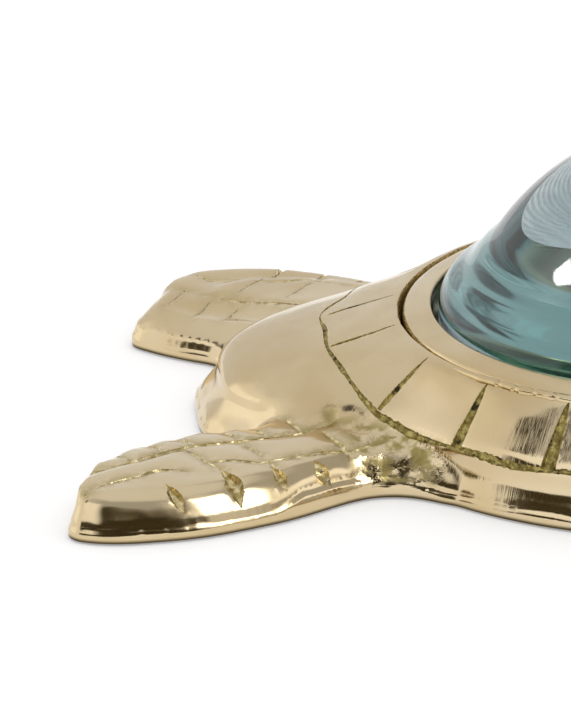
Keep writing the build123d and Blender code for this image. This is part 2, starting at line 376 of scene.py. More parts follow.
flangeMake = {
    "top": 1.75, "waver": 0.5, "ragged": 0.12, "rootRise": 1.2, "step": 0.22,
    "out": 0.10, "tuck": 0.12, "tuckHeight": 1.4, "from": 46, "bandLow": 0.31, "bandHigh": 3.6,
}


def flangeTop(points):
    # height of the ragged line above the flange
    make = flangeMake
    height = make["top"] + make["waver"] * noiseAt(points * (1, 1, 0), 9.0, 3.0)
    height += make["ragged"] * noiseAt(points * (1, 1, 0), 3.0, 8.0)
    for flipper in flippers:
        along, across = flipper.shares(points[:, 0], points[:, 1])
        near = (1 - ease(0.3, 0.42, along)) * ease(-0.1, 0.05, along) * ease(0.1, 0.25, across)
        height += make["rootRise"] * near
    return height


def sculpt(obj):
    # hand work on the casting: hollows, lowered scale rows, crowned plates and polishing waves
    make = sculptMake
    points, normals = readPoints(obj), readNormals(obj)
    x, y, z = points.T
    lift = np.zeros(len(points))
    drop = np.zeros(len(points))
    top = ease(0.35, 0.8, normals[:, 2]) * ease(*make["padsFrom"], z)
    gaps, rows = lineGap(points)
    carvedTop = ease(0.2, 0.6, normals[:, 2]) * ease(*make["padsFrom"], z)
    carvedTop *= 1 - ease(*make["padsTo"], z)
    carvedTop *= faint(points)
    drop += carvedTop * (make["lineDip"] * np.exp(-(gaps / make["lineWidth"]) ** 2)
                         + make["rowDip"] * np.exp(-(rows / make["rowWidth"]) ** 2))
    drop -= make["padSwell"] * carvedTop * ease(1.5, 3.5, gaps) * (gaps < 20)
    for flipper in hindPair:
        along, across = flipper.shares(x, y)
        reach = ease(0.05, 0.2, along) * (1 - ease(1.0, 1.1, along)) * (1 - ease(0.50, 0.58, abs(across)))
        reach *= 1 - ease(7.6, 8.4, z)
        line = np.interp(along, *make["farRow"])
        drop += make["farRowDrop"] * top * reach * (1 - ease(line - 0.06, line - 0.01, across))
        if flipper is leftHind:   # hollow inside the rim of the tail side edge
            hollow = np.exp(-((along - 0.52) / 0.26) ** 2 - ((across + 0.28) / 0.10) ** 2)
            drop += make["sideHollow"] * hollow * top
    level = normals * (1, 1, 0)
    slope = np.linalg.norm(level, axis=1)
    level /= np.maximum(slope, 1e-6)[:, None]
    radius, angle = aroundAxis(points)
    draft = make["draft"] * ease(1.6, 5.0, z) * ease(0.1, 0.5, slope) * (radius > make["draftFrom"])
    draft *= 1 - ease(5.4, 7.5, z)
    plate = ease(41.5, 43.5, radius) * (1 - ease(46.5, 50.0, radius)) * ease(7.4, 9.0, z)
    cell = (angle + make["plateStart"]) / make["plateTurn"]
    cell = np.abs(cell - np.round(cell))
    lift += make["plateSwell"] * plate * ease(0.0, 0.5, cell)
    lift += ease(0.4, 3.0, z) * lumps(points, make["waves"])
    lift += rawShare(points) * lumps(points, make["rawLumps"])
    points += normals * lift[:, None] - level * draft[:, None]
    points[:, 2] -= drop
    writePoints(obj, points)


sculpt(skin)
print("casting sculpted")

# underside cut flat
editAll(skin)
bpy.ops.mesh.bisect(
    plane_co=(0, 0, castingMake["underside"] * mm), plane_no=(0, 0, 1),
    use_fill=True, clear_inner=True, threshold=tiny,
)
bpy.ops.object.mode_set(mode="OBJECT")
print("casting cut", len(skin.data.polygons))

# bore for the bezel with half of the rim groove at its mouth, and the felt's pockets
boreMake = {
    "steps": 360, "lipRadius": 38.15, "lipHeight": 1.8, "radius": 39.85, "mouthRadius": 40.65,
    "mouthDepth": 0.32, "mouthAbove": 0.05, "mouthNarrows": 0.35, "mouthWaver": 0.10, "middle": 41,
    "mouthLow": 15, "mouthFrom": 40, "wornFrom": 39,
}
pocketMake = {"steps": 144, "inner": 40.3, "outer": 44.9, "top": 1.0, "padRadius": 5.3, "padSides": 64}
castSlot = bpy.data.materials.new("brassAsCast")
shinySlot = bpy.data.materials.new("brassPolished")
wornSlot = bpy.data.materials.new("brassWorn")


def boreCutter():
    make = boreMake
    mouth = castingMake["crownHeight"] + make["mouthAbove"]
    run = (make["mouthRadius"] - make["radius"]) / make["mouthDepth"]
    profile = [
        (0, -1), (make["lipRadius"], -1), (make["lipRadius"], make["lipHeight"]),
        (make["radius"], make["lipHeight"]), (make["radius"], mouth - make["mouthDepth"]),
        (make["mouthRadius"], mouth), (make["mouthRadius"] + 2 * run, mouth + 2), (0, mouth + 2),
    ]
    cutter = spunShape("bore_cutter", profile, make["steps"])
    cutter.data.materials.append(shinySlot)
    cutter.data.materials.append(wornSlot)
    for face in cutter.data.polygons:
        reach = math.hypot(face.center.x, face.center.y) / mm
        atMouth = face.center.z / mm > mouth - make["mouthDepth"] and reach > make["wornFrom"]
        face.material_index = int(atMouth)
    points = readPoints(cutter)
    reach, angle = aroundAxis(points)
    mouthPart = (points[:, 2] > make["mouthLow"]) & (reach > make["mouthFrom"])
    grow = make["mouthWaver"] * noiseAt(points, 4.0, 11.0)
    grow -= make["mouthNarrows"] * ease(20, 55, np.abs(angle))
    points[:, :2] *= (1 + mouthPart * grow / make["middle"])[:, None]
    writePoints(cutter, points)
    return cutter


def pocketCutter():
    make = pocketMake
    inner, outer, top = make["inner"], make["outer"], make["top"]
    ring = spunShape("pocket_cutter", [(inner, -1), (outer, -1), (outer, top), (inner, top)], make["steps"])
    for x, y in padSpots.values():
        pad = cylinder(make["padSides"], make["padRadius"], top - 2, top, x, y)
        joinAll([ring, pad], "pocket_cutter")
    return ring


hindPad, frontPad = (0.60, 0.02), (0.62, 0.13)   # shares of a flipper's length and width
padSpots = {
    "felt_pad_hind_left": leftHind.place(*hindPad),
    "felt_pad_hind_right": rightHind.place(*hindPad),
    "felt_pad_front_left": leftFront.place(*frontPad),
    "felt_pad_front_right": rightFront.place(*frontPad),
}
for finish in (shinySlot, castSlot, wornSlot):
    skin.data.materials.append(finish)
combine(skin, boreCutter())
combine(skin, pocketCutter())
print("casting bored", len(skin.data.polygons))


def shapeFlange(obj):
    # band above the underside made finer and stepped out into the ragged flange
    make = flangeMake
    editAll(obj)
    bpy.ops.mesh.select_all(action="DESELECT")
    bpy.ops.mesh.select_mode(type="FACE")
    bpy.ops.object.mode_set(mode="OBJECT")
    for face in obj.data.polygons:
        x, y, z = face.center / mm
        onBand = make["bandLow"] < z < make["bandHigh"] and math.hypot(x, y) > make["from"]
        face.select = onBand and face.normal.z > -0.7
    bpy.ops.object.mode_set(mode="EDIT")
    bpy.ops.mesh.subdivide(number_cuts=1, smoothness=0)
    bpy.ops.object.mode_set(mode="OBJECT")
    points, normals = readPoints(obj), readNormals(obj)
    level = unit(normals * (1, 1, 0))
    above = points[:, 2] - flangeTop(points)
    side = (normals[:, 2] > -0.8) & (normals[:, 2] < 0.75) & (aroundAxis(points)[0] > make["from"])
    below = 1 - ease(-make["step"], make["step"], above)
    push = make["out"] * below - make["tuck"] * (1 - below) * (1 - ease(0.2, make["tuckHeight"], above))
    points += level * (push * side)[:, None]
    writePoints(obj, points)


shapeFlange(skin)
print("flange shaped", len(skin.data.polygons))


# carved lines: a cutter that is narrow at its ends and follows the surface
def surfaceOf(obj):
    return BVHTree.FromObject(obj, bpy.context.evaluated_depsgraph_get())


def onTop(surface, x, y):
    spot = surface.ray_cast(Vector((x * mm, y * mm, 0.05)), Vector((0, 0, -1)))[0]
    return nearest(surface, x, y, 6.0) if spot is None else spot / mm


def nearest(surface, x, y, z):
    return surface.find_nearest(Vector((x * mm, y * mm, z * mm)))[0] / mm


def smoothLine(stops, step):
    # points at even steps along a smooth line through the stops, and each one's share of the way
    stops = np.array(stops, float)
    ways = np.r_[0, np.cumsum(np.linalg.norm(np.diff(stops[:, :3], axis=0), axis=1))]
    count = max(4, int(ways[-1] / step) + 1)
    at = np.linspace(0, ways[-1], count)
    fine = np.empty((count, stops.shape[1]))
    slopes = np.gradient(stops, ways, axis=0)
    for n, way in enumerate(at):
        k = min(np.searchsorted(ways, way, side="right") - 1, len(stops) - 2)
        run = ways[k + 1] - ways[k]
        t = (way - ways[k]) / run
        fine[n] = ((1 + 2 * t) * (1 - t) ** 2 * stops[k] + t * (1 - t) ** 2 * run * slopes[k]
                   + t * t * (3 - 2 * t) * stops[k + 1] + t * t * (t - 1) * run * slopes[k + 1])
    return fine


def carveLine(name, stops, sides=6, step=0.35, grain=0.06, closed=False, slot=castSlot):
    # stops are (x, y, z, radius) in mm; the cutter is a swept tube with a grainy skin
    line = smoothLine(stops, step)
    if closed:
        line = line[:-1]
    count = len(line)
    ahead = np.roll(line[:, :3], -1, 0) - np.roll(line[:, :3], 1, 0)
    if not closed:
        ahead[0], ahead[-1] = line[1, :3] - line[0, :3], line[-1, :3] - line[-2, :3]
    ahead /= np.linalg.norm(ahead, axis=1)[:, None]
    across = unit(np.cross(ahead, (0, 0, 1.0)))
    rise = np.cross(across, ahead)
    verts = []
    for n in range(count):
        for k in range(sides):
            turn = -math.pi / 2 + math.tau * k / sides
            radius = line[n, 3]
            verts.append(line[n, :3] + radius * (math.cos(turn) * across[n] + math.sin(turn) * rise[n]))
    verts = np.array(verts)
    if grain:
        centres = np.repeat(line[:, :3], sides, axis=0)
        push = 1 + 2 * grain * noiseAt(verts, 0.45, 6.0)
        verts = centres + (verts - centres) * push[:, None]
    faces = []
    for n in range(count if closed else count - 1):
        for k in range(sides):
            a, b = n * sides + k, n * sides + (k + 1) % sides
            c, d = (n + 1) % count * sides + (k + 1) % sides, (n + 1) % count * sides + k
            faces.append((a, b, c, d))
    if not closed:
        faces.append(tuple(range(sides - 1, -1, -1)))
        faces.append(tuple(range((count - 1) * sides, count * sides)))
    mesh = bpy.data.meshes.new(name)
    mesh.from_pydata([tuple(v * mm) for v in verts], [], faces)
    obj = bpy.data.objects.new(name, mesh)
    bpy.context.collection.objects.link(obj)
    obj.data.materials.append(slot)
    editAll(obj)
    faceOutwards()
    return obj


# lines of the shell: angles from the tail, and stops of the border as (angle, radius, height)
shellLines = {
    "plateAngles": (5.0, -11.9, -30.6, -48.2, -65.7, -84, -103, -121, -139, -157,
                    22, 39, 57, 75, 93, 111, 129, 147, 160),
    "tailStops": ((-30.7, 48.7, 8.5), (-27.6, 49.2, 9.6), (-24.4, 49.5, 10.7), (-18.4, 49.8, 12.0),
                  (-11.9, 50.2, 12.6), (-4.3, 50.0, 12.8), (4.4, 50.8, 12.7), (6.9, 50.1, 12.8),
                  (10.7, 48.7, 13.0), (14.5, 48.6, 12.9), (22.0, 49.3, 11.3), (30.7, 48.7, 8.6)),
    "headStops": ((166, 46.5, 10.5), (172, 46.0, 13.0), (180, 46.0, 13.6), (188, 46.0, 13.0),
                  (194, 46.5, 10.5)),
    "sideRadius": 47.25, "sideHeight": 7.55, "sideWaver": 0.25,
    "borderBulk": 0.58, "tailBulk": 0.27, "tailTurn": 28, "bulkWaver": 0.9,
    "plateInner": 41.2, "plateShares": (0.0, 0.2, 0.45, 0.7, 0.88, 1.0), "plateEnd": 0.06,
    "plateWidths": (0.38, 0.42, 0.62, 1.0, 1.15),
}


def polar(angle, radius):
    turn = math.radians(angle)
    return -radius * math.cos(turn), radius * math.sin(turn)


def borderSide(angles):
    make = shellLines
    return [(angle, make["sideRadius"], make["sideHeight"] + make["sideWaver"] * math.sin(angle * 0.33))
            for angle in angles]


def borderLine(surface):
    make = shellLines
    stops = [*make["tailStops"], *borderSide(range(38, 161, 6)),
             *make["headStops"], *borderSide(range(200, 323, 6))]
    line = []
    for angle, radius, height in stops + [stops[0]]:
        spot = nearest(surface, *polar(angle, radius), height)
        atTail = abs((angle + 180) % 360 - 180) <= make["tailTurn"]
        uneven = 1 + make["bulkWaver"] * noise.noise(Vector((angle / 3.3, 0.4, 0)))
        line.append((*spot, make["tailBulk" if atTail else "borderBulk"] * uneven))
    return carveLine("border_cutter", line, sides=8, closed=True, grain=0.26)


def plateLines(surface):
    # leaf shaped cuts that widen outwards, those at the tail pointed again at their outer end
    make = shellLines
    widths, inner = make["plateWidths"], make["plateInner"]
    cutters = []
    for n, angle in enumerate(make["plateAngles"]):
        outer = 49.8 if abs(angle) < 20 else 48.4 if abs(angle) < 33 else 47.0
        end = 2.4 if n == 0 else angle + 0.4
        wide = widths[n] if n < len(widths) else 0.75 + 0.25 * math.sin(3.1 * n)
        line = []
        for share in make["plateShares"]:
            spot = onTop(surface, *polar(angle + (end - angle) * share, inner + (outer - inner) * share))
            pointed = 1.0 if abs(angle) > 40 else 1.0 - 0.55 * share ** 6
            line.append((*spot, make["plateEnd"] + wide * (share ** 0.6) * pointed))
        cutters.append(carveLine("plate_cutter", line))
    return joinAll(cutters, "plate_cutters")


leftHindThin = {"lines": 0.5, "gouges": 0.6}
gougeMake = {"start": 0.05, "end": 0.08, "bend": 0.9, "bendRise": 0.6, "shoulder": 0.8}


def flipperLine(surface, flipper, stops):
    thin = leftHindThin["lines"] if flipper is leftHind else 1.0
    line = [(*onTop(surface, *flipper.place(along, across)), radius * thin)
            for along, across, radius in stops]
    return carveLine("line_cutter", line, sides=4, step=0.4, slot=wornSlot)


def flipperGouge(surface, flipper, gouge):
    make = gougeMake
    along, across, lowAlong, lowHeight, radius = gouge
    top = onTop(surface, *flipper.place(along, across))
    x, y = flipper.place(lowAlong, 1.2)
    low = surface.ray_cast(Vector((x * mm, y * mm, lowHeight * mm)), -flipper.outward())[0] / mm
    bend = (top + low) / 2 + flipper.outward() * make["bend"] + Vector((0, 0, make["bendRise"]))
    middle = nearest(surface, *bend)
    radius *= leftHindThin["gouges"] if flipper is leftHind else 1.0
    line = [(*top, make["start"]), (*((top + 2 * middle) / 3), make["shoulder"] * radius),
            (*middle, radius), (*low, make["end"])]
    return carveLine("gouge_cutter", line, sides=8, step=0.3, grain=0.14, slot=wornSlot)


# head: lines seen from above as (x, y, radius), the mouth and the eyelids, in mm
headMake = {
    "top": (
        ((59, -3.6, 0.1), (62, -4.3, 0.3), (66, -4.2, 0.3), (70, -2.8, 0.3), (72.5, 0, 0.3),
         (70, 2.8, 0.3), (66, 4.2, 0.3), (62, 4.3, 0.3), (59, 3.6, 0.1)),
        ((59.5, -3.8, 0.1), (58.6, 0, 0.28), (59.5, 3.8, 0.1)),
        ((58.5, 0, 0.1), (56, 0, 0.25), (52.5, 0, 0.1)), ((72.6, 0, 0.1), (75, 0, 0.25), (77.5, 0, 0.1)),
        ((62, -4.4, 0.1), (60.5, -6.5, 0.25), (58.5, -8.5, 0.1)),
        ((62, 4.4, 0.1), (60.5, 6.5, 0.25), (58.5, 8.5, 0.1)),
        ((70, -2.9, 0.1), (71.5, -5, 0.25), (72.5, -7, 0.1)),
        ((70, 2.9, 0.1), (71.5, 5, 0.25), (72.5, 7, 0.1)),
        ((51, -6.5, 0.1), (50, 0, 0.3), (51, 6.5, 0.1)),
        ((53.8, -7.5, 0.1), (52.8, 0, 0.25), (53.8, 7.5, 0.1)),
    ),
    "topBulk": 1.4,
    "mouth": ((67.5, -11.5, 8.9, 0.1), (71, -10.5, 9.2, 0.32), (75, -8, 9.8, 0.38), (78.5, -4.5, 10.3, 0.36),
              (80.3, 0, 10.6, 0.32), (78.5, 4.5, 10.3, 0.36), (75, 8, 9.8, 0.38), (71, 10.5, 9.2, 0.32),
              (67.5, 11.5, 8.9, 0.1)),
    "eye": (66.1, 12.0, 13.5), "lid": (2.9, 2.3), "lidRadius": 0.45,
}


def headLines(surface):
    make = headMake
    cutters = []
    for stops in make["top"]:
        line = [(*onTop(surface, x, y), make["topBulk"] * radius) for x, y, radius in stops]
        cutters.append(carveLine("head_cutter", line, step=0.4))
    line = [(*nearest(surface, x, y, z), radius) for x, y, z, radius in make["mouth"]]
    cutters.append(carveLine("mouth_cutter", line, step=0.4))
    x, y, z = make["eye"]
    for side in (-1, 1):
        for lid in (1, -1):
            line = []
            for n in range(9):
                turn = math.radians(14 + 19 * n)
                spot = nearest(surface, x + make["lid"][0] * math.cos(turn), side * y,
                               z + lid * make["lid"][1] * math.sin(turn))
                line.append((*spot, make["lidRadius"] * (0.3 + 0.7 * math.sin(turn))))
            cutters.append(carveLine("lid_cutter", line, step=0.3))
    return joinAll(cutters, "head_cutters")


beadMake = {
    "start": -38.0, "pitch": 0.35, "count": 105, "radius": 0.52, "least": 0.05, "away": 40.95, "above": 0.02,
    "swellIn": 26, "swellOut": 30, "nicks": (-50.8, -54.6, -58.4, -63.0), "nickTurn": 0.45, "nickDepth": 0.3,
    "bulkWaver": 0.2, "awayWaver": 0.12,
}


def beadPiece(surface):
    # burred edge worked over along the bore's mouth, on the right hand side of the tail
    make = beadMake
    line = []
    for n in range(make["count"]):
        angle = make["start"] - make["pitch"] * n
        nicks = sum(math.exp(-((angle - nick) / make["nickTurn"]) ** 2) for nick in make["nicks"])
        swell = math.sin(math.pi * min(1, n / make["swellIn"]) / 2)
        swell *= math.sin(math.pi * min(1, (make["count"] - 1 - n) / make["swellOut"]) / 2)
        uneven = 1 - make["nickDepth"] * nicks + make["bulkWaver"] * noise.noise(Vector((n / 7, 3.4, 0)))
        away = make["away"] + make["awayWaver"] * noise.noise(Vector((n / 9, 9.2, 0)))
        x, y, z = onTop(surface, *polar(angle, away))
        line.append((x, y, z + make["above"], make["radius"] * swell * uneven + make["least"]))
    return carveLine("bead", line, sides=12, step=0.22, grain=0, slot=shinySlot)


surface = surfaceOf(skin)
bead = beadPiece(surface)
cutters = [borderLine(surface), plateLines(surface)]
groups = ([], [], [])
for flipper in flippers:
    lines, cross, gouges = hindCarving if flipper in hindPair else frontCarving
    groups[0].extend(flipperLine(surface, flipper, stops) for stops in lines.values())
    groups[1].extend(flipperLine(surface, flipper, stops) for stops in cross.values())
    groups[2].extend(flipperGouge(surface, flipper, gouge) for gouge in gouges)
cutters += [joinAll(group, "flipper_cutters") for group in groups]
cutters.append(headLines(surface))
for cutter in cutters:
    combine(skin, cutter)
    print("cut", len(skin.data.polygons))

combine(skin, bead, "UNION")
print("bead added", sum(len(face.vertices) - 2 for face in skin.data.polygons), "triangles")
carved = {corner for face in skin.data.polygons if face.material_index and face.center.z > 2 * mm
          for corner in face.vertices}
smoothWhere(skin, sorted(carved), 2)


def markFinish(obj):
    # masks for the brushed and the raw finish, and for the olive along the carved lines, which is oxide in
    # the hollows and painted shade, kept on the mesh's points
    points = readPoints(obj)
    radius, angle = aroundAxis(points)
    height = points[:, 2]
    brushed = ease(18, 40, np.abs(angle)) * (radius < 53) * ease(2.2, 3.4, height)
    raw = rawShare(points)
    gaps, rows = lineGap(points)
    # olive along the carved lines: oxide in the hollows and painted shade
    lineOxideAndShade = (0.75 * np.exp(-gaps ** 2) + 0.5 * np.exp(-(rows / 1.3) ** 2)) * ease(3.6, 5.0, height)
    lineOxideAndShade *= faint(points)
    for name, values in (("brushed", brushed * (1 - raw)), ("raw", raw), ("lineOxideAndShade", np.minimum(1, lineOxideAndShade))):
        layer = obj.data.attributes.new(name, "FLOAT", "POINT")
        layer.data.foreach_set("value", values.astype(np.float32))


markFinish(skin)
shadeSmooth(skin, castingMake["smoothAngle"])
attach(skin, "turtle")
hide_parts("turtle_casting")
print("casting done")


# bezel ring
bezelMake = {
    "inner": 35.9, "outer": 39.8, "top": 16.1, "fall": 0.6, "bottom": 1.8, "ledgeTop": 3.0,
    "ledgeInner": 31.4, "steps": 360, "waves": ((0.06, 5.0, 7.0), (0.03, 1.6, 9.0)), "wavesAbove": 14.2,
    "wavesFrom": 1.2, "smoothAngle": 40,
    # soft edges of the rim as (distance in from the wall, rise)
    "outerEdge": ((0, -1.0), (0.05, -0.75), (0.18, -0.45), (0.36, -0.22), (0.6, -0.05), (0.9, 0.06),
                  (1.4, 0.20)),
    "innerEdge": ((1.6, -0.24), (0.9, -0.09), (0.5, -0.02), (0.32, -0.01), (0.18, -0.05),
                  (0.07, -0.15), (0, -0.35)),
}


def bezelPiece():
    make = bezelMake
    inner, outer, top = make["inner"], make["outer"], make["top"]
    rimLow = top - make["fall"]
    profile = [(make["ledgeInner"], make["bottom"]), (outer, make["bottom"])]
    profile += [(outer - inset, rimLow + height) for inset, height in make["outerEdge"]]
    profile += [(inner + inset, top + height) for inset, height in make["innerEdge"]]
    profile += [(inner, make["ledgeTop"]), (make["ledgeInner"], make["ledgeTop"])]
    ring = spunShape("bezel", profile, make["steps"])
    points = readPoints(ring)
    onRim = (points[:, 2] > make["wavesAbove"]) & (aroundAxis(points)[0] > inner + make["wavesFrom"])
    points[:, 2] += lumps(points, make["waves"]) * onRim
    writePoints(ring, points)
    return ring


bezel = bezelPiece()
bezel.data.materials.append(shinySlot)
shadeSmooth(bezel, bezelMake["smoothAngle"])
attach(bezel, "turtle")
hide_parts("bezel_ring")

# glass dome
glassMake = {
    "radius": 35.0, "bottom": 3.5, "side": 12.0, "chamfer": 0.8, "shoulder": 5.3,
    "collarFoot": 31.1, "collarRise": 3.55, "collarRound": 8.0, "kink": 28.0, "dome": 33.3,
    "seatInner": 27.15, "steps": 288, "step": 0.3, "sideRows": 30, "smoothing": 24, "smoothReach": 2.4,
    "smoothAngle": 25,
}


def arcPoints(start, end, radius):
    # points along an arc that bulges outwards between two points of the profile
    start, end = np.array(start), np.array(end)
    chord = end - start
    size = np.linalg.norm(chord)
    inwards = np.array((-chord[1], chord[0])) / size
    centre = (start + end) / 2 + inwards * math.sqrt(radius ** 2 - size ** 2 / 4)
    first, last = (math.atan2(*(spot - centre)[::-1]) for spot in (start, end))
    count = max(2, round(radius * abs(last - first) / glassMake["step"]))
    turns = np.linspace(first, last, count + 1)[1:]
    return [tuple(centre + radius * np.array((math.cos(turn), math.sin(turn)))) for turn in turns]


def glassPiece():
    make = glassMake
    sideTop = make["bottom"] + make["side"]
    centre = make["radius"] - make["shoulder"]
    footRise = math.sqrt(make["shoulder"] ** 2 - (make["collarFoot"] - centre) ** 2)
    collarFoot = (make["collarFoot"], sideTop + footRise)
    kink = (make["kink"], collarFoot[1] + make["collarRise"])
    apex = (0.0, kink[1] - math.sqrt(make["dome"] ** 2 - make["kink"] ** 2) + make["dome"])
    low = make["bottom"] + make["chamfer"]
    profile = [(0, make["bottom"]), (make["seatInner"], make["bottom"]),
               (make["radius"] - make["chamfer"], make["bottom"])]
    rows = make["sideRows"]
    profile += [(make["radius"], low + (sideTop - low) * n / rows) for n in range(rows + 1)]
    profile += arcPoints((make["radius"], sideTop), collarFoot, make["shoulder"])
    profile += arcPoints(collarFoot, kink, make["collarRound"])
    profile += arcPoints(kink, apex, make["dome"])
    line = np.array(profile)
    line[-1, 0] = 0
    for _ in range(make["smoothing"]):   # hollow fillets at the foot and the top of the collar
        soft = line.copy()
        soft[1:-1] = 0.5 * line[1:-1] + 0.25 * (line[:-2] + line[2:])
        near = np.zeros(len(line), bool)
        for corner in (collarFoot, kink):
            near |= np.hypot(*(line - corner).T) < make["smoothReach"]
        line = np.where(near[:, None], soft, line)
    return spunShape("glass", [tuple(spot) for spot in line], make["steps"])


glass = glassPiece()
glassTint = bpy.data.materials.new("glassBlueGreen")
glassGround = bpy.data.materials.new("glassGround")
glass.data.materials.append(glassTint)
glass.data.materials.append(glassGround)
for face in glass.data.polygons:
    underneath = face.center.z < glassMake["bottom"] * mm + tiny
    face.material_index = int(underneath and face.center.xy.length > glassMake["seatInner"] * mm)
shadeSmooth(glass, glassMake["smoothAngle"])
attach(glass, "dome")
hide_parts("glass_dome")
print("bezel and glass done")


# materials
class Nodes:
    # short way to write a material's nodes
    def __init__(self, block):
        block.use_nodes = True
        self.tree = block.node_tree
        self.tree.nodes.clear()

    def add(self, kind, settings=None, **inputs):
        node = self.tree.nodes.new(kind)
        for key, value in (settings or {}).items():
            setattr(node, key, value)
        for key, value in inputs.items():
            self.set(node, key.replace("_", " "), value)
        return node

    def set(self, node, key, value):
        socket = node.inputs[int(key)] if key.isdigit() else node.inputs[key]
        if isinstance(value, bpy.types.Node):
            value = value.outputs[0]
        if isinstance(value, bpy.types.NodeSocket):
            self.tree.links.new(value, socket)
        else:
            socket.default_value = value

    def math(self, kind, a, b=0.0, c=0.0, clamp=False):
        node = self.add("ShaderNodeMath", {"operation": kind, "use_clamp": clamp})
        for n, value in enumerate((a, b, c)):
            self.set(node, str(n), value)
        return node.outputs[0]

    def ramp(self, value, low, high, start=0.0, end=1.0):
        node = self.add("ShaderNodeMapRange", {"interpolation_type": "SMOOTHSTEP"})
        for key, number in (("Value", value), ("From Min", low), ("From Max", high),
                            ("To Min", start), ("To Max", end)):
            self.set(node, key, number)
        return node.outputs[0]

    def noise(self, vector, scale, detail=2.0, rough=0.5):
        node = self.add("ShaderNodeTexNoise", Vector=vector, Scale=scale, Detail=detail, Roughness=rough)
        return node.outputs[0]

    def place(self):
        return self.add("ShaderNodeTexCoord").outputs["Object"]

    def mark(self, name):
        # a mask kept on the mesh's points
        return self.add("ShaderNodeAttribute", {"attribute_name": name}).outputs["Fac"]

    def output(self, surface, **more):
        self.add("ShaderNodeOutputMaterial", Surface=surface, **more)

    def mix(self, share, a, b):
        node = self.add("ShaderNodeMix", {"data_type": "RGBA"})
        for n, value in ((0, share), (6, a), (7, b)):
            self.set(node, str(n), value)
        return node.outputs[2]


brassMake = {
    # the olive colour is the raw roots' stain, and along the carved lines oxide with painted shade
    "light": (0.73, 0.60, 0.39, 1), "deep": (0.62, 0.475, 0.26, 1), "stainAndShade": (0.40, 0.32, 0.12, 1),
    # the foot colour is a painted contact shadow along the bottom of the wall
    "paintedFootShadow": (0.085, 0.06, 0.025, 1), "foot": (0.0006, 0.0011), "footWaver": 0.0004,
    "patches": 45.0, "grit": 1500.0, "gritHeight": 3.0, "haze": 130.0, "hazeMost": 0.06,
    "strokes": 2600.0, "strokeAround": 0.045, "strokeAcross": 0.06,
    "roughness": 0.11, "brushed": -0.025, "rawRoughness": 0.35, "lineOxideAndShadeMost": 0.8, "bump": 0.00008,
}


def brushedSpace(make):
    # coordinates that run round the upright axis, so that strokes lie across it
    place = make.place()
    parts = make.add("ShaderNodeSeparateXYZ", Vector=place)
    turn = make.math("ARCTAN2", parts.outputs[1], parts.outputs[0])
    away = make.add("ShaderNodeVectorMath", {"operation": "LENGTH"}, **{"0": place}).outputs[1]
    around, fine = brassMake["strokeAround"], brassMake["strokeAcross"]
    long = make.add("ShaderNodeCombineXYZ", X=make.math("MULTIPLY", turn, around),
                    Y=make.math("MULTIPLY", away, fine), Z=make.math("MULTIPLY", parts.outputs[2], fine))
    return place, parts.outputs[2], long.outputs[0]


def polishedBrass():
    look = brassMake
    make = Nodes(shinySlot)
    place, upright, strokes = brushedSpace(make)
    patches = make.noise(place, look["patches"], 3.0)
    tint = make.mix(make.ramp(patches, 0.35, 0.68), look["light"], look["deep"])
    raw = make.mark("raw")
    grit = make.noise(place, look["grit"], 3.0, 0.6)
    stainAndShadeMask = make.math("MULTIPLY", raw, make.ramp(make.noise(place, 520.0, 3.0), 0.42, 0.62), clamp=True)
    lineOxideAndShade = make.mark("lineOxideAndShade")
    lineOxideAndShade = make.math("MULTIPLY", lineOxideAndShade, make.ramp(make.noise(place, 700.0, 3.0), 0.32, 0.60), clamp=True)
    stainAndShadeMask = make.math("MAXIMUM", stainAndShadeMask, make.math("MULTIPLY", lineOxideAndShade, look["lineOxideAndShadeMost"]))
    # olive stain on the raw roots; along the carved lines it is oxide and painted shade
    colour = make.mix(stainAndShadeMask, tint, look["stainAndShade"])
    foot = make.math("ADD", upright, make.math("MULTIPLY", patches, look["footWaver"]))
    foot = make.ramp(foot, *look["foot"])   # painted contact shadow: the lowest edge of the wall is darkened
    colour = make.mix(foot, look["paintedFootShadow"], colour)
    brushed = make.mark("brushed")
    lines = make.noise(strokes, look["strokes"], 3.0, 0.7)
    rough = make.math("ADD", look["roughness"], make.math("MULTIPLY", brushed, look["brushed"]))
    rough = make.math("ADD", rough, make.math("MULTIPLY", stainAndShadeMask, look["rawRoughness"]))
    haze = make.ramp(make.noise(place, look["haze"], 3.0), 0.4, 0.75, 0.0, look["hazeMost"])
    rough = make.math("ADD", rough, haze)
    height = make.math("MULTIPLY", lines, make.math("MULTIPLY_ADD", brushed, 0.45, 0.04))
    grit = make.math("MULTIPLY", grit, make.math("MULTIPLY", raw, look["gritHeight"]))
    height = make.math("ADD", height, grit)
    bump = make.add("ShaderNodeBump", Strength=0.5, Distance=look["bump"], Height=height)
    shader = make.add("ShaderNodeBsdfPrincipled", Base_Color=colour, Metallic=1.0, Roughness=rough,
                      Normal=bump)
    make.output(shader)


castLook = {
    "grains": 1300.0, "pits": 520.0, "low": (0.27, 0.205, 0.055, 1), "high": (0.58, 0.48, 0.17, 1),
    # the pit colour is painted shade in the pits
    "pitShade": (0.055, 0.045, 0.02, 1), "rubbed": (0.72, 0.60, 0.33, 1), "bump": 0.00022,
}


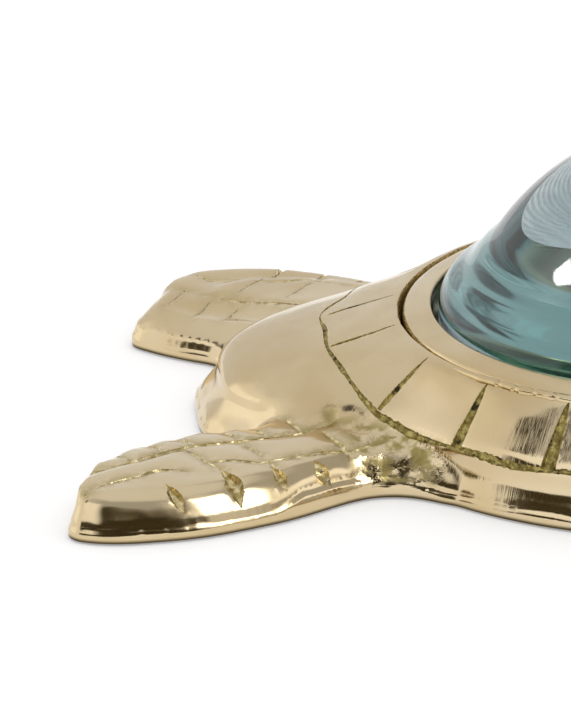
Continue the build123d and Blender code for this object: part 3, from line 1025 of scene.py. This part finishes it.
def castBrass():
    look = castLook
    make = Nodes(castSlot)
    place = make.place()
    grains = make.noise(place, look["grains"], 4.0, 0.7)
    pits = make.noise(place, look["pits"], 3.0, 0.6)
    colour = make.mix(make.ramp(grains, 0.42, 0.62), look["low"], look["high"])
    # painted shade: near-black spots where the bumps dip into pits
    colour = make.mix(make.ramp(pits, 0.36, 0.46, 1.0, 0.0), colour, look["pitShade"])
    colour = make.mix(make.ramp(grains, 0.64, 0.72), colour, look["rubbed"])
    bump = make.add("ShaderNodeBump", Strength=0.9, Distance=look["bump"],
                    Height=make.math("ADD", grains, make.math("MULTIPLY", pits, 1.5)))
    shader = make.add("ShaderNodeBsdfPrincipled", Base_Color=colour, Metallic=0.75, Normal=bump,
                      Roughness=make.ramp(grains, 0.3, 0.7, 0.62, 0.38))
    make.output(shader)


wornLook = {"grains": 1100.0, "low": (0.44, 0.35, 0.14, 1), "high": (0.80, 0.67, 0.40, 1), "bump": 0.00018}


def wornBrass():
    # carved brass that handling has rubbed bright on its high grains
    look = wornLook
    make = Nodes(wornSlot)
    grains = make.noise(make.place(), look["grains"], 3.0, 0.6)
    colour = make.mix(make.ramp(grains, 0.36, 0.60), look["low"], look["high"])
    bump = make.add("ShaderNodeBump", Strength=0.8, Distance=look["bump"], Height=grains)
    shader = make.add("ShaderNodeBsdfPrincipled", Base_Color=colour, Metallic=0.95, Normal=bump,
                      Roughness=make.ramp(grains, 0.3, 0.7, 0.42, 0.22))
    make.output(shader)


glassLook = {
    "body": (0.175, 0.60, 0.60, 1), "density": 23.0, "ripple": 60.0, "rippleBump": 0.00006,
    "groundLow": (0.70, 0.72, 0.74, 1), "groundHigh": (0.85, 0.86, 0.86, 1), "groundGrain": 2200.0,
    # the glow settings are painted light on the ground ring
    "groundPaintedLight": (1, 0.66, 0.70, 1), "paintedLightLeast": 0.52, "paintedLightMost": 0.64,
}


def glassBody(make):
    return make.add("ShaderNodeVolumeAbsorption", Color=glassLook["body"], Density=glassLook["density"])


def bluishGlass():
    make = Nodes(glassTint)
    place = make.place()
    height = make.noise(place, glassLook["ripple"], 2.0)
    bump = make.add("ShaderNodeBump", Strength=0.25, Distance=glassLook["rippleBump"], Height=height)
    away = make.add("ShaderNodeVectorMath", {"operation": "LENGTH"}, **{"0": make.add(
        "ShaderNodeVectorMath", {"operation": "MULTIPLY"}, **{"0": place, "1": (1, 1, 0)})}).outputs[1]
    shader = make.add("ShaderNodeBsdfPrincipled", Base_Color=(1, 1, 1, 1), IOR=1.5, Normal=bump,
                      Roughness=make.ramp(away, 0.0295, 0.0305, 0.0, 0.07))
    shader.inputs["Transmission Weight"].default_value = 1.0
    make.output(shader, Volume=glassBody(make))


def groundGlass():
    # the ground ring on which the glass sits, seen through the dome, with painted light: it glows, fading
    # out towards the tail, though no lamp lights it
    look = glassLook
    make = Nodes(glassGround)
    place = make.place()
    shade = make.ramp(make.noise(place, look["groundGrain"], 3.0), 0.3, 0.7)
    colour = make.mix(shade, look["groundLow"], look["groundHigh"])
    shader = make.add("ShaderNodeBsdfPrincipled", Base_Color=colour, Roughness=0.9)
    aside = make.add("ShaderNodeSeparateXYZ", Vector=place).outputs[0]
    # painted light: emission on the ring, none towards the tail
    paintedLight = make.ramp(shade, 0, 1, look["paintedLightLeast"], look["paintedLightMost"])
    paintedLight = make.math("MULTIPLY", paintedLight, make.ramp(aside, -0.026, -0.016))
    glow = make.add("ShaderNodeEmission", Color=look["groundPaintedLight"], Strength=paintedLight)
    both = make.add("ShaderNodeAddShader", **{"0": shader, "1": glow})
    make.output(both, Volume=glassBody(make))


polishedBrass()
castBrass()
wornBrass()
bluishGlass()
groundGlass()


def paint(name, colour, roughness, grain, depth):
    material = bpy.data.materials.new(name)
    make = Nodes(material)
    place = make.place()
    fibre = make.noise(place, grain, 4.0, 0.7)
    dark = tuple(0.55 * part for part in colour) + (1,)
    tone = make.mix(make.ramp(fibre, 0.35, 0.65), dark, (*colour, 1))
    bump = make.add("ShaderNodeBump", Strength=0.8, Distance=depth, Height=fibre)
    shader = make.add("ShaderNodeBsdfPrincipled", Base_Color=tone, Roughness=roughness, Normal=bump)
    make.output(shader)
    return material


rubber = paint("seatRubber", (0.02, 0.02, 0.02), 0.7, 900.0, 0.00003)
feltGreen = paint("feltGreen", (0.020, 0.055, 0.035), 1.0, 2600.0, 0.0002)
seat = bpy.data.objects["seat_washer"]
seat.data.materials.clear()
seat.data.materials.append(rubber)


# felt: ring and pads with soft edges
feltMake = {
    "thick": 1.0, "ringInner": 40.6, "ringOuter": 44.6, "ringSteps": 180, "padRadius": 5.0, "padSides": 72,
    "bevel": 0.22, "uneven": 0.03, "fluff": 0.8, "smoothAngle": 40,
}


def feltPiece(node, name, spot=None):
    make = feltMake
    thick = make["thick"]
    if spot is None:
        inner, outer = make["ringInner"], make["ringOuter"]
        profile = [(inner, 0.0), (outer, 0.0), (outer, thick), (inner, thick)]
        piece = spunShape(name, profile, make["ringSteps"])
    else:
        piece = cylinder(make["padSides"], make["padRadius"], 0, thick, *spot)
        bpy.ops.object.transform_apply(location=True, rotation=True, scale=True)
        piece.name = name
    useModifier(piece, "BEVEL", width=make["bevel"] * mm, segments=3, limit_method="ANGLE")
    points = readPoints(piece)
    shifts = [noiseAt(points, make["fluff"], seed) for seed in (1.0, 2.0, 3.0)]
    points += make["uneven"] * np.stack(shifts, axis=1)
    points[:, 2] = np.clip(points[:, 2], 0.0, thick)
    writePoints(piece, points)
    shadeSmooth(piece, make["smoothAngle"])
    piece.data.materials.append(feltGreen)
    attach(piece, "turtle")
    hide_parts(node)


feltPiece("base_felt", "felt_ring")
for node, spot in padSpots.items():
    feltPiece(node, node.replace("felt_pad", "felt_foot"), spot)
print("felt and materials done")

# floor, light and camera
floorMake = {"size": 3.0, "colour": (0.80, 0.80, 0.80, 1), "glow": 0.30}
bpy.ops.object.select_all(action="DESELECT")
bpy.ops.mesh.primitive_plane_add(size=floorMake["size"], location=(0, 0, 0))
floor = bpy.context.active_object
floor.name = "floor"
floorPaint = bpy.data.materials.new("palePaper")
make = Nodes(floorPaint)
path = make.add("ShaderNodeLightPath")
seen = make.math("MAXIMUM", path.outputs["Is Camera Ray"], path.outputs["Is Transmission Ray"])
seen = make.math("MAXIMUM", seen, path.outputs["Is Glossy Ray"])
glow = make.add("ShaderNodeEmission", Strength=make.math("MULTIPLY", seen, floorMake["glow"]))
plain = make.add("ShaderNodeBsdfDiffuse", Color=floorMake["colour"])
make.output(make.add("ShaderNodeAddShader", **{"0": plain, "1": glow}))
floor.data.materials.append(floorPaint)

studioMake = {
    "plain": 0.95, "walls": 0.80, "dark": (1.0, 0.78, 0.34, 1),
    "darkInGlass": (0.80, 1.0, 0.95, 1),
    # boxes of the room seen in the brass: turn from the front to the left and rise in degrees,
    # the half sizes, the width of the soft edge and the level
    "boxes": (
        ("right", -112, 5, 54, 60, 8, 0.50), ("back right", -158, 20, 14, 24, 6, 0.50),
        ("back right post", -143, 10, 4.6, 15, 1.5, 0.04), ("back right low", -148, 4, 6, 6, 2, 0.08),
        ("left", 92, 16, 34, 22, 10, 1.02), ("above", 0, 84, 181, 16, 8, 0.82),
        ("front above", 2, 50, 48, 12, 6, 0.46), ("front", -6, 10, 32, 29, 4, 0.045),
        ("front low", 20.5, 4, 42.5, 17, 3, 0.05),
        ("left window", 48, 34, 17, 12, 4, 1.12), ("right lamp", -50, 37, 13, 14, 3, 4.4),
        ("lamp wing", -76, 19, 14, 6, 3, 1.35), ("left low", 108, 9, 20, 12, 5, 1.28),
        ("dim", 52, 56, 12, 7, 5, 0.62), ("card", 65.5, 44.5, 4.8, 5.6, 1.8, 0.02),
    ),
    "glint": ((94, 33, 6, 5.5, 1.2), 26.0), "glow": ((94, 33, 16, 13, 10), 2.6),
    "blind": {"box": (135, 26, 38, 24, 4), "lean": 0.575, "start": 94.4, "slant": 1.13, "pitch": 3.5,
              "contrast": 0.4},
}
world = bpy.data.worlds.new("studio")
bpy.context.scene.world = world
make = Nodes(world)
towards = make.add("ShaderNodeTexCoord").outputs["Generated"]
parts = make.add("ShaderNodeSeparateXYZ", Vector=towards)
path = make.add("ShaderNodeLightPath")
toDegrees = math.degrees(1.0)
turn = make.math("MULTIPLY", make.math("ARCTAN2", make.math("MULTIPLY", parts.outputs[0], -1.0),
                                       make.math("MULTIPLY", parts.outputs[1], -1.0)), toDegrees)
rise = make.math("MULTIPLY", make.math("ARCSINE", parts.outputs[2]), toDegrees)


def blendTo(level, share, value):
    return make.math("MULTIPLY_ADD", share, make.math("SUBTRACT", value, level), level)


def inBox(turnMid, riseMid, turnHalf, riseHalf, soft):
    aside = make.math("ABSOLUTE", make.math("SUBTRACT", turn, turnMid))
    upOff = make.math("ABSOLUTE", make.math("SUBTRACT", rise, riseMid))
    return make.math("MULTIPLY", make.ramp(aside, turnHalf + soft, turnHalf - soft),
                     make.ramp(upOff, riseHalf + soft, riseHalf - soft))


level = studioMake["walls"]
for _, turnMid, riseMid, turnHalf, riseHalf, soft, value in studioMake["boxes"]:
    level = blendTo(level, inBox(turnMid, riseMid, turnHalf, riseHalf, soft), value)
blind = studioMake["blind"]
lean = make.math("MULTIPLY_ADD", turn, blind["lean"], rise)
slant = make.math("MULTIPLY_ADD", rise, blind["slant"], turn)
slats = make.math("SINE", make.math("MULTIPLY", slant, blind["pitch"]))
inBlind = make.math("MULTIPLY", make.ramp(lean, blind["start"], blind["start"] + 1.5),
                    inBox(*blind["box"]))
level = make.math("MULTIPLY_ADD", inBlind, make.math("MULTIPLY", slats, blind["contrast"]), level)
sharp = make.math("MULTIPLY", path.outputs["Is Singular Ray"],
                  make.math("SUBTRACT", 1.0, path.outputs["Is Transmission Ray"]))
for box, value in (studioMake["glow"], studioMake["glint"]):   # a lamp that only the glass mirrors
    level = blendTo(level, make.math("MULTIPLY", sharp, inBox(*box)), value)
mirrored = make.math("MAXIMUM", path.outputs["Is Glossy Ray"], path.outputs["Is Transmission Ray"])
level = blendTo(studioMake["plain"], mirrored, level)
level = blendTo(level, path.outputs["Is Camera Ray"], 1.0)
dark = make.mix(path.outputs["Is Transmission Ray"], studioMake["dark"], studioMake["darkInGlass"])
shade = make.mix(make.ramp(level, 0.05, 0.34), dark, (1, 1, 1, 1))   # the dark things are brown
sky = make.add("ShaderNodeBackground", Color=shade, Strength=level)
make.add("ShaderNodeOutputWorld", Surface=sky)

cameraMake = {"place": (0.0, -0.80465, 0.28993), "turn": (70.7429, 1.2105, 3.5157), "lens": 327.91}
cameraData = bpy.data.cameras.new("camera")
camera = bpy.data.objects.new("camera", cameraData)
bpy.context.collection.objects.link(camera)
camera.location = cameraMake["place"]
camera.rotation_euler = [math.radians(turn) for turn in cameraMake["turn"]]
cameraData.sensor_fit = "VERTICAL"
cameraData.sensor_height = 36.0
cameraData.lens = cameraMake["lens"]
cameraData.clip_start = 0.01
bpy.context.scene.camera = camera
bpy.context.scene.view_settings.view_transform = "Standard"
